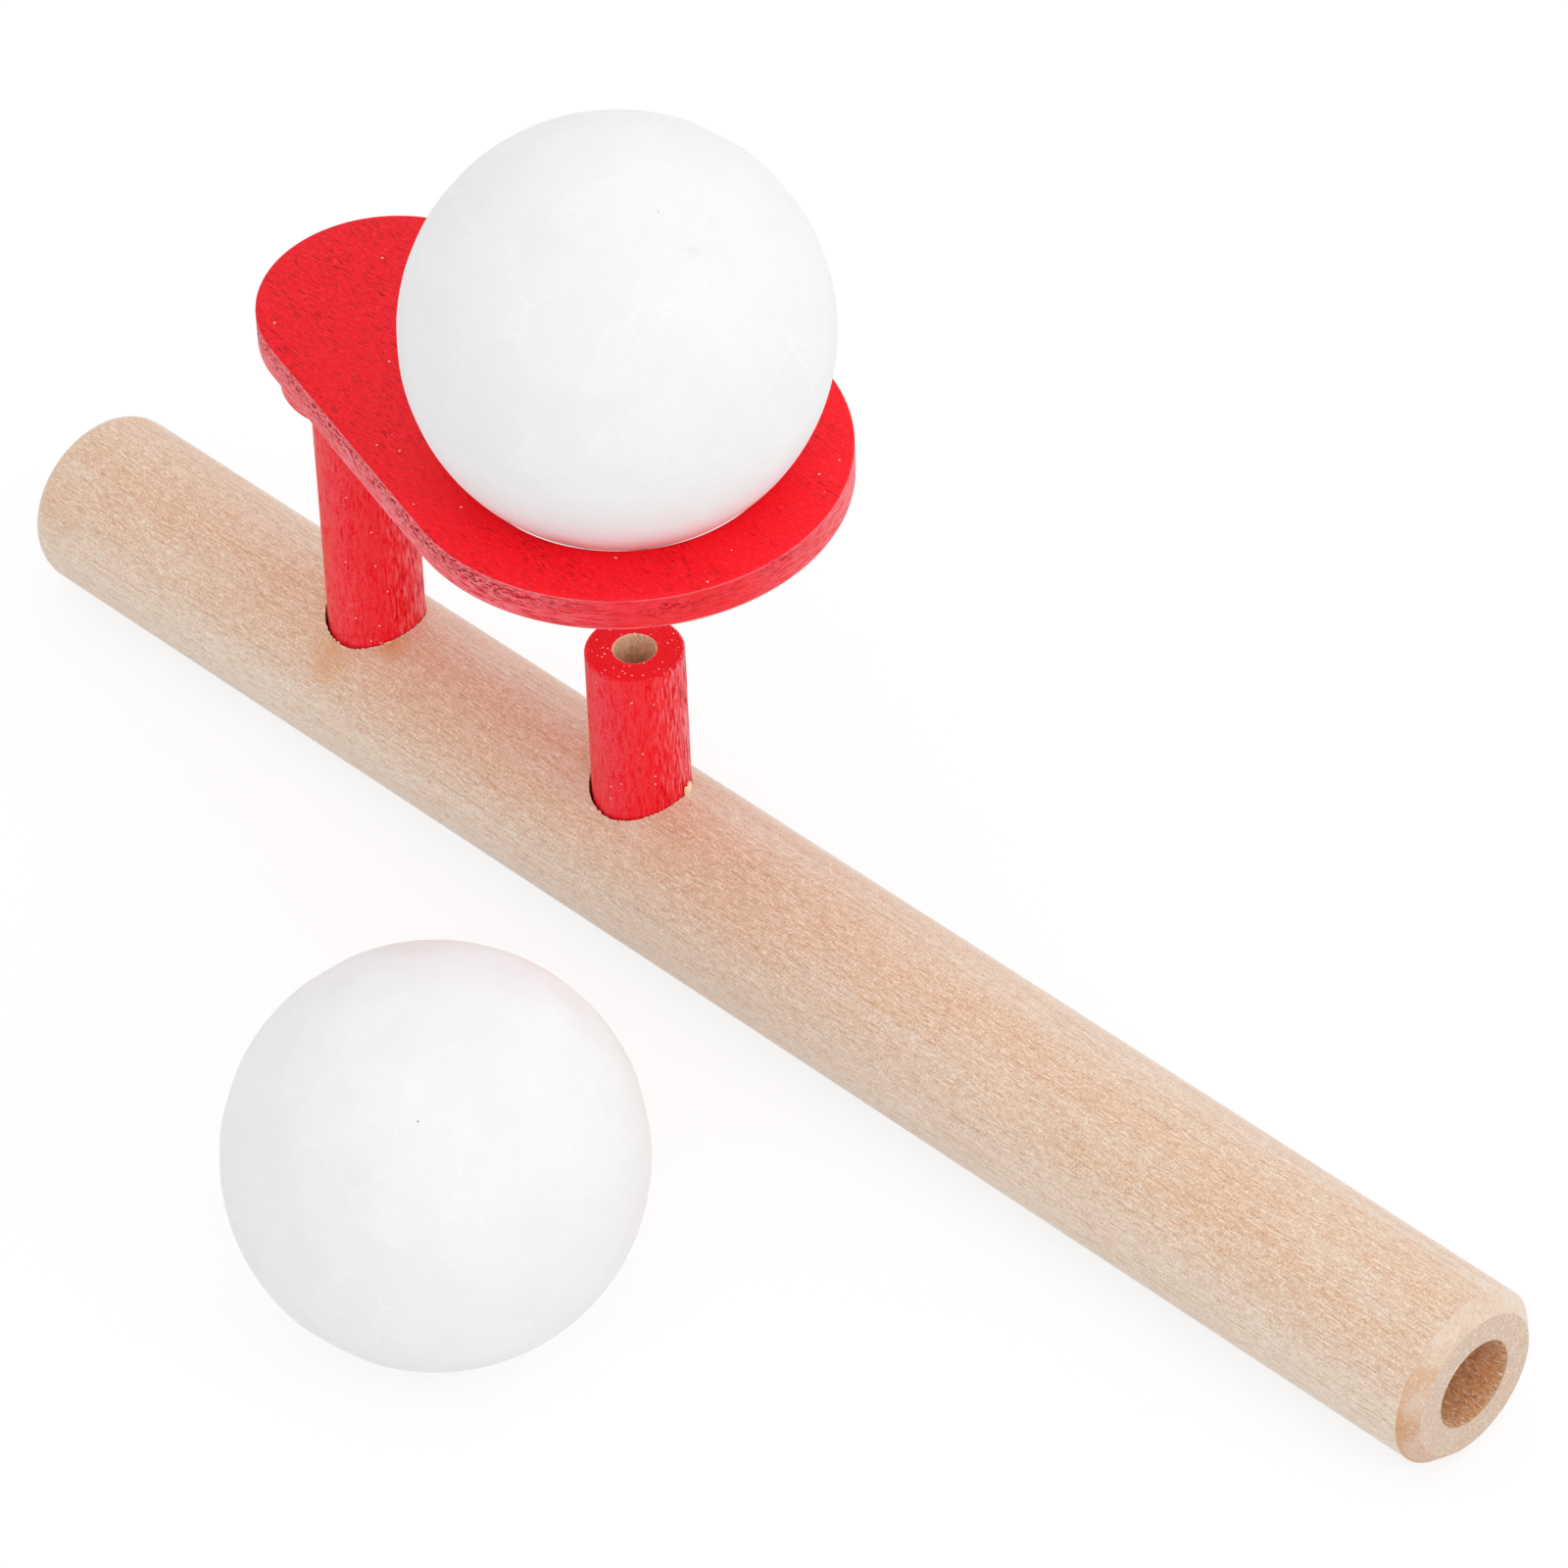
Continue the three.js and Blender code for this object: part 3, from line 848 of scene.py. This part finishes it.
def rim_fibres(name, x, pipe, material, rng):
    """Torn fibres on the rim of a socket: each lies on the pipe's round side along the grain and reaches
    a little over the gap. The rim is where the socket's circle meets the pipe's."""
    way = np.linspace(0, 1, RIM_FIBRE_POINTS)
    turn = rng.uniform(0, 2 * math.pi, (RIM_FIBRES, 1))
    rim = DOWEL_RADIUS + pipe.socket_gap
    reach = rng.uniform(*RIM_FIBRE_LENGTHS, (RIM_FIBRES, 1)) * MM
    slant = rng.uniform(-0.5, 0.5, (RIM_FIBRES, 1))
    outward = np.sign(np.cos(turn))
    start = x - pipe.socket_shift + rim * np.cos(turn) - RIM_OVERHANG * outward
    across = -pipe.socket_shift + rim * np.sin(turn)
    along = start + outward * reach * way
    beside = across + slant * reach * way
    height = PIPE_AXIS + np.sqrt(PIPE_RADIUS ** 2 - beside ** 2) + RIM_LIFT
    paths = np.stack([along, beside, height], axis=-1)
    return threads(name, paths, slivers(way, rng, RIM_FIBRES, *RIM_FIBRE_WIDTHS), [material])


class BLOWPIPE_OT_pipe(bpy.types.Operator):
    """Turned hardwood pipe with its air channel, the sockets of both dowels and the drill's loose fibres"""
    bl_idname = "blow_pipe.add_pipe"
    bl_label = "Add Pipe"

    def execute(self, context):
        toy = context.scene.blow_ball_pipe
        pipe, finish = toy.pipe, toy.finish
        channel = drilled_wall(
            "drilled_channel", finish, finish.drilled_wood, torn_share=0.7,
            wool_size=(0.6, 0.34, 0.34), torn_size=(0.5, 0.16, 0.16))
        wood = [sanded_hardwood(finish), sawn_end_grain(finish), channel, burnished_chamfer(finish)]
        rows, slots = pipe_profile(pipe)
        points = turned(rows, PIPE_COLUMNS, "X") + (0, 0, PIPE_AXIS)
        # The underside is planed level: what lies under the floor comes up to it
        points[..., 2] = np.maximum(points[..., 2], 0)
        stick = grid_piece("pipe_stick", points, slots, wood)
        radius = DOWEL_RADIUS + pipe.socket_gap
        shift = pipe.socket_shift
        drill(stick, "nozzle_socket", -shift, -shift, NOZZLE_LOW.z - pipe.glue_film, radius, wood)
        drill(stick, "post_socket", POST_X - shift, -shift, POST_LOW.z - pipe.glue_film, radius, wood)
        place(stick, "toy", "bare_hardwood", "pipe")
        rng = np.random.default_rng(PIPE_SEED)
        fibre = loose_fibre(finish)
        for fibres in (
                channel_fibres("channel_fibres", pipe, fibre, rng),
                rim_fibres("nozzle_socket_fibres", 0, pipe, fibre, rng),
                rim_fibres("post_socket_fibres", POST_X, pipe, fibre, rng)):
            place(fibres, "toy", "bare_hardwood")
        return {"FINISHED"}


def nozzle_profile(dowels):
    """Closed ring profile of the nozzle from its bore's foot, up the outside and down the bore, as [height,
    radius]."""
    low, high, radius, edge = NOZZLE_LOW.z, NOZZLE_HIGH.z, DOWEL_RADIUS, dowels.edge_rounding
    bore = dowels.nozzle_bore / 2
    lip = 0.08 * MM
    return joined(
        (run((low, bore), (low, radius), 6), BARE),
        (run((low, radius), (high - edge, radius), 90), PAINTED),
        (arc((high - edge, radius - edge), edge, 90, 0, 6), PAINTED),
        (run((high, radius - edge), (high, bore + lip), 10), PAINTED_END),
        (arc((high - lip, bore + lip), lip, 0, -90, 4), BARE),
        (run((high - lip, bore), (low, bore), 60), BARE))


def post_profile(dowels):
    """Profile of the post from the middle of its foot to the middle of its top, as [height, radius]. Its
    bare ends are hidden in the socket and under the plate."""
    low, high, radius, edge = POST_LOW.z, POST_HIGH.z, DOWEL_RADIUS, dowels.edge_rounding
    return joined(
        (run((low, 0), (low, radius - edge), 6), BARE),
        (arc((low + edge, radius - edge), edge, 180, 90, 6), PAINTED),
        (run((low + edge, radius), (high, radius), 180), PAINTED),
        (run((high, radius), (high, 0), 6), BARE))


def ridged(points, middle_x, depth, rng):
    """Upright ridges of the grain: the distance from the dowel's axis falls by depth times a wave. The wave
    is the mean of cosines of the turn that waver with height. It swells and dies out in long patches, and is
    strongest on the right side."""
    x, y, z = points[..., 0] - middle_x, points[..., 1], points[..., 2]
    turn = np.arctan2(y, x)
    counts = np.array(RIDGE_COUNTS)[:, None, None]
    phases = rng.uniform(0, 2 * math.pi, (len(counts), 1, 1))
    lengths = rng.uniform(*WAVER_LENGTHS, (len(counts), 1, 1)) * MM
    waver = WAVER_REACH * np.sin(z / lengths + phases + 3 * turn)
    wave = (1 + np.cos(counts * turn + phases + waver).mean(axis=0)) / 2
    patch = (1 + np.cos(PATCH_COUNT * turn + z / PATCH_LENGTH + phases[0, 0, 0])) / 2
    to_right = np.clip((x * RIGHT_SIDE[0] + y * RIGHT_SIDE[1]) / DOWEL_RADIUS, 0, 1)
    factor = 1 - depth * wave * (0.4 + 0.6 * patch) * (0.25 + to_right) / DOWEL_RADIUS
    points[..., 0] = middle_x + x * factor
    points[..., 1] = y * factor
    return points


def torn_chip(name, material, rng):
    """Bare wood that the drill tore up beside the nozzle: four pale slivers side by side, and two crumbs that
    lie lower at their left."""
    way = np.linspace(0, 1, FIBRE_POINTS)
    aside, deeper, height = np.array(CHIP_SLIVERS).T[:, :, None]
    turn = CHIP_TURN - aside
    out = DOWEL_RADIUS + rng.uniform(*CHIP_GAPS, turn.shape) * MM
    foot = PIPE_HIGH.z - CHIP_DEPTH - deeper * MM
    steady = np.ones_like(way)
    paths = np.stack(
        [out * np.cos(turn) * steady, out * np.sin(turn) * steady, foot + height * MM * way], axis=-1)
    widths = rng.uniform(*CHIP_WIDTHS, turn.shape) * MM * (1 - (2 * way - 1) ** 8)
    return threads(name, paths, widths, [material])


class BLOWPIPE_OT_dowels(bpy.types.Operator):
    """Red painted nozzle and post, and the wood that was torn up at the nozzle's foot"""
    bl_idname = "blow_pipe.add_dowels"
    bl_label = "Add Nozzle and Post"

    def execute(self, context):
        toy = context.scene.blow_ball_pipe
        finish, depth = toy.finish, toy.dowels.ridge_depth
        rng = np.random.default_rng(DOWEL_SEED)
        # The nozzle's bore takes the lightened colour, which is painted light
        bore = drilled_wall(
            "drilled_nozzle", finish, finish.bored_wood_with_painted_light, torn_share=0.4,
            wool_size=(0.4, 0.4, 0.9), torn_size=(0.26, 0.26, 0.5))
        rows, slots = nozzle_profile(toy.dowels)
        points = ridged(turned(rows, DOWEL_COLUMNS, "Z"), 0, depth, rng)
        materials = [painted_dowel("painted_nozzle", finish, 0), bore, painted_end(finish)]
        place(grid_piece("nozzle_dowel", points, slots, materials), "toy", "red_painted_wood", "nozzle")
        rows, slots = post_profile(toy.dowels)
        points = ridged(turned(rows, DOWEL_COLUMNS, "Z") + (POST_X, 0, 0), POST_X, depth, rng)
        materials = [painted_dowel("painted_post", finish, POST_X), bore]
        place(grid_piece("post_dowel", points, slots, materials), "toy", "red_painted_wood", "post")
        fibre = loose_fibre(finish)
        place(torn_chip("torn_chip", fibre, rng), "toy", "bare_hardwood")
        place(nozzle_fibres("nozzle_fibres", toy.dowels, fibre, rng), "toy", "bare_hardwood")
        return {"FINISHED"}


class BLOWPIPE_OT_collar(bpy.types.Operator):
    """Thick painted collar on top of the post"""
    bl_idname = "blow_pipe.add_collar"
    bl_label = "Add Collar"

    def execute(self, context):
        toy = context.scene.blow_ball_pipe
        low, high, radius = COLLAR_LOW.z, COLLAR_HIGH.z, COLLAR_HIGH.y
        edge = toy.dowels.collar_rounding
        hole = DOWEL_RADIUS + toy.pipe.glue_film
        rows, slots = joined(
            (run((low, hole), (low, radius - edge), 6), PAINTED),
            (arc((low + edge, radius - edge), edge, 180, 90, 8), PAINTED),
            (run((low + edge, radius), (high, radius), 30), PAINTED),
            (run((high, radius), (high, hole), 6), PAINTED),
            (run((high, hole), (low, hole), 30), PAINTED))
        points = turned(rows, COLLAR_COLUMNS, "Z") + (POST_X, 0, 0)
        collar = grid_piece("collar_disc", points, slots, [painted_edge(toy.finish)])
        place(collar, "toy", "red_painted_wood", "collar")
        return {"FINISHED"}


def egg_outline(turn, large, small, apart):
    """Hull of a large circle about the origin and a small one apart from it towards -X, seen from the origin.
    By direction it is the large circle, then the straight line that touches both, then the small circle.
    Gives the points and the outward directions."""
    slope = math.asin((large - small) / apart)
    touch = math.pi / 2 + slope
    half = np.abs(np.where(turn > math.pi, turn - 2 * math.pi, turn))
    # Near half a turn the flank's formula could divide by zero, and the small circle has taken over there
    flank = large / np.cos(np.minimum(half, math.pi * 0.99) - touch)
    end_angle = math.atan2(small * math.sin(touch), -apart + small * math.cos(touch))
    sine = np.clip(apart * np.sin(half) / small, -1, 1)
    far = -apart * np.cos(half) + small * np.sqrt(1 - sine ** 2)
    reach = np.where(half <= touch, large, np.where(half <= end_angle, flank, far))
    points = np.stack([reach * np.cos(turn), reach * np.sin(turn)], axis=-1)
    side = np.where(turn > math.pi, -1, 1)
    lean = np.stack([np.full_like(turn, math.cos(touch)), side * math.sin(touch)], axis=-1)
    round_end = (points - (-apart, 0)) / small
    beyond = np.where((half <= end_angle)[:, None], lean, round_end)
    outward = np.where((half <= touch)[:, None], points / large, beyond)
    return points, outward


def plate_points(plate):
    """Ring section carried round the hole: each row lies a share of the way from the hole's edge to the egg
    outline, drawn in from both by the rounding of the edges. Gives the points and the rows' slots."""
    seat = plate.seat_diameter / 2
    large = PLATE_HIGH.y - PLATE_INSET
    small = plate.small_end_diameter / 2
    apart = -PLATE_LOW.x - small
    turn = np.linspace(0, 2 * math.pi, PLATE_COLUMNS, endpoint=False)
    edge, outward = egg_outline(turn, large, small, apart)
    radial = np.stack([np.cos(turn), np.sin(turn)], axis=-1)
    low, high, rounding = PLATE_LOW.z, PLATE_HIGH.z, plate.edge_rounding
    upper = arc((rounding, high - rounding), rounding, 90, 180, 6)
    lower = arc((rounding, low + rounding), rounding, 180, 270, 6)
    steps = 8
    flat = np.linspace(0, 1, steps + 1)
    sections = [
        (1, upper, FACE),
        (1, run((0, high - rounding), (0, low + rounding), steps), EDGE),
        (1, lower, EDGE),
        (1 - flat, run((rounding, low), (rounding, low), steps), FACE),
        (0, lower[::-1], EDGE),
        (0, run((0, low + rounding), (0, high - rounding), steps), EDGE),
        (0, upper[::-1], EDGE),
        (flat, run((rounding, high), (rounding, high), steps), FACE)]
    way = np.concatenate([np.full(len(rows), part) for part, rows, _ in sections])[:, None, None]
    drawn_in, height = np.vstack([rows for _, rows, _ in sections]).T
    slots = np.concatenate([np.full(len(rows), slot) for _, rows, slot in sections])
    drawn_in = drawn_in[:, None, None]
    flat_points = (1 - way) * (seat + drawn_in) * radial + way * (edge - drawn_in * outward)
    heights = np.repeat(height[:, None, None], len(turn), axis=1)
    return np.concatenate([flat_points, heights], axis=-1), slots


class BLOWPIPE_OT_plate(bpy.types.Operator):
    """Red painted egg-shaped plate with the round hole that the ball lies in"""
    bl_idname = "blow_pipe.add_plate"
    bl_label = "Add Ball Plate"

    def execute(self, context):
        toy = context.scene.blow_ball_pipe
        points, slots = plate_points(toy.plate)
        materials = [painted_face(toy.finish), painted_edge(toy.finish)]
        board = grid_piece("ball_plate_board", points, slots, materials, wrap_rows=True)
        place(board, "toy", "red_painted_wood", "ball_plate")
        return {"FINISHED"}


def foam_ball(name, node, flats, material, seed):
    """Sphere with flattened spots: in each direction the distance from the centre is the soft minimum of the
    radius and of the distances to planes that cut a little off it. The planes face the points of a golden
    spiral, drawn a little out of place. The soft minimum is a power mean with a large negative power."""
    low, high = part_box(node)
    radius = (high.z - low.z) / 2
    rng = np.random.default_rng(seed)
    polar = np.linspace(0, math.pi, BALL_ROWS)[:, None]
    turn = np.linspace(0, 2 * math.pi, BALL_COLUMNS, endpoint=False)
    upward = np.cos(polar) * np.ones_like(turn)
    out = np.stack([np.sin(polar) * np.cos(turn), np.sin(polar) * np.sin(turn), upward], axis=-1)
    order = np.arange(FLAT_SPOTS) + 0.5
    tilt = np.arccos(1 - 2 * order / FLAT_SPOTS)
    spiral = math.pi * (1 + math.sqrt(5)) * order
    facing = np.stack([np.sin(tilt) * np.cos(spiral), np.sin(tilt) * np.sin(spiral), np.cos(tilt)], axis=-1)
    facing += rng.normal(0, SPOT_SCATTER_SHARE, facing.shape)
    facing /= np.linalg.norm(facing, axis=-1, keepdims=True)
    planes = 1 - flats / radius * rng.uniform(0, 1, FLAT_SPOTS)
    ratio = np.clip(out.reshape(-1, 3) @ facing.T, 0, None) / planes
    distance = radius * (1 + (ratio ** SOFT_POWER).sum(axis=-1)) ** (-1 / SOFT_POWER)
    points = out * distance.reshape(out.shape[:2])[..., None] + np.array((low + high) / 2)
    ball = grid_piece(name, points, np.zeros(len(points)), [material], crease=BALL_CREASE)
    place(ball, node, "polystyrene_foam", node)


class BLOWPIPE_OT_balls(bpy.types.Operator):
    """Foam ball in the plate's hole and the spare one on the table"""
    bl_idname = "blow_pipe.add_balls"
    bl_label = "Add Foam Balls"

    def execute(self, context):
        toy = context.scene.blow_ball_pipe
        material = bead_foam(toy.finish, toy.foam)
        foam_ball("game_ball_foam", "game_ball", toy.foam.game_ball_flats, material, GAME_BALL_SEED)
        foam_ball("spare_ball_foam", "spare_ball", toy.foam.spare_ball_flats, material, SPARE_BALL_SEED)
        return {"FINISHED"}


# Stage


def lit_white(tree):
    """One for what the camera sees straight, in a reflection or through something clear, and zero for light
    that goes on to the toy."""
    path = add(tree, "LightPath", {})
    mirrored = add(tree, "Math", {
        "operation": "MAXIMUM", 0: path.outputs["Is Glossy Ray"], 1: path.outputs["Is Transmission Ray"]})
    return add(tree, "Math", {"operation": "MAXIMUM", 0: path.outputs["Is Camera Ray"], 1: mirrored})


def pale_floor():
    """White table. It lights the toy as plain white card, and shows lifted to white, with a faint soft
    shadow."""
    material, tree = new_material("white_table")
    card = add(tree, "BsdfDiffuse", {"Color": linear("#f2f2f2")})
    shown = add(tree, "BsdfDiffuse", {"Color": (SHOWN_CARD,) * 3})
    glow = add(tree, "Emission", {"Color": WHITE, "Strength": SHOWN_GLOW})
    lifted = add(tree, "AddShader", {0: shown, 1: glow})
    surface = add(tree, "MixShader", {0: lit_white(tree), 1: card, 2: lifted})
    add(tree, "OutputMaterial", {"Surface": surface})
    return material


def white_room(stage):
    """World that lights evenly and shows as white to the camera and in reflections."""
    world = bpy.data.worlds.new("white_room")
    world.use_nodes = True
    tree = world.node_tree
    tree.nodes.clear()
    strength = add(tree, "MapRange", {"Value": lit_white(tree), "To Min": stage.room_light, "To Max": 1})
    light = add(tree, "Background", {"Color": WHITE, "Strength": strength})
    add(tree, "OutputWorld", {"Surface": light})
    return world


def lamp(name, stands_at, size, watts):
    """Square lamp that faces the toy."""
    light = bpy.data.lights.new(name, "AREA")
    light.shape = "SQUARE"
    light.size = size
    light.energy = watts
    holder = bpy.data.objects.new(name, light)
    holder.location = stands_at
    holder.rotation_euler = (LAMP_AIM - holder.location).to_track_quat("-Z", "Y").to_euler()
    bpy.context.scene.collection.objects.link(holder)


def photo_camera(stage):
    """Camera on a sphere about its target: right, up and back follow from azimuth and elevation, then roll
    turns right and up about the line of sight."""
    a, e, r = stage.azimuth, stage.elevation, stage.roll
    back = np.array([math.sin(a) * math.cos(e), -math.cos(a) * math.cos(e), math.sin(e)])
    level = np.array([math.cos(a), math.sin(a), 0])
    upright = np.cross(back, level)
    right = math.cos(r) * level + math.sin(r) * upright
    up = -math.sin(r) * level + math.cos(r) * upright
    eye = np.array(stage.target) + stage.distance * back
    camera = bpy.data.objects.new("photo_camera", bpy.data.cameras.new("photo_camera"))
    camera.data.sensor_width = SENSOR_WIDTH
    camera.data.lens = stage.lens
    camera.data.clip_start = NEAR_LIMIT
    camera.matrix_world = Matrix(np.column_stack([right, up, back, eye]).tolist() + [[0, 0, 0, 1]])
    bpy.context.scene.collection.objects.link(camera)
    bpy.context.scene.camera = camera


class BLOWPIPE_OT_stage(bpy.types.Operator):
    """White table, white room, soft lamps and the photograph's camera"""
    bl_idname = "blow_pipe.add_stage"
    bl_label = "Add Stage"

    def execute(self, context):
        stage = context.scene.blow_ball_pipe.stage
        rows = run((-TABLE_DROP, 0), (-TABLE_DROP, TABLE_RADIUS), 24)
        points = turned(rows, TABLE_COLUMNS, "Z")
        table = grid_piece("white_table", points, np.zeros(len(rows)), [pale_floor()])
        context.scene.world = white_room(stage)
        lamp("overhead_lamp", *OVERHEAD_LAMP, stage.overhead_light)
        lamp("key_lamp", *KEY_LAMP, stage.key_light)
        lamp("rim_lamp", *RIM_LAMP, stage.rim_light)
        lamp("fill_lamp", *FILL_LAMP, stage.fill_light)
        photo_camera(stage)
        context.scene.view_settings.view_transform = "Standard"
        return {"FINISHED"}


# Sidebar and registration


class BLOWPIPE_PT_sidebar(bpy.types.Panel):
    """Settings and steps of the blow ball pipe toy"""
    bl_idname = "BLOWPIPE_PT_sidebar"
    bl_label = "Blow Ball Pipe"
    bl_space_type = "VIEW_3D"
    bl_region_type = "UI"
    bl_category = "Blow Pipe"

    def draw(self, context):
        toy = context.scene.blow_ball_pipe
        for group in (toy.pipe, toy.dowels, toy.plate, toy.foam, toy.finish, toy.stage):
            box = self.layout.box()
            for name in type(group).__annotations__:
                box.prop(group, name)
        for step in STEPS:
            self.layout.operator(step.bl_idname)


STEPS = (
    BLOWPIPE_OT_pipe, BLOWPIPE_OT_dowels, BLOWPIPE_OT_collar, BLOWPIPE_OT_plate, BLOWPIPE_OT_balls,
    BLOWPIPE_OT_stage)
GROUPS = (
    PipeSettings, DowelSettings, PlateSettings, FoamSettings, FinishSettings, StageSettings, ToySettings)
CLASSES = (*GROUPS, *STEPS, BLOWPIPE_PT_sidebar)


def register():
    for kind in CLASSES:
        bpy.utils.register_class(kind)
    bpy.types.Scene.blow_ball_pipe = bpy.props.PointerProperty(type=ToySettings)


def unregister():
    del bpy.types.Scene.blow_ball_pipe
    for kind in reversed(CLASSES):
        bpy.utils.unregister_class(kind)


def main():
    register()
    bpy.ops.blow_pipe.add_pipe()
    bpy.ops.blow_pipe.add_dowels()
    bpy.ops.blow_pipe.add_collar()
    bpy.ops.blow_pipe.add_plate()
    bpy.ops.blow_pipe.add_balls()
    bpy.ops.blow_pipe.add_stage()


if __name__ == "__main__":
    main()
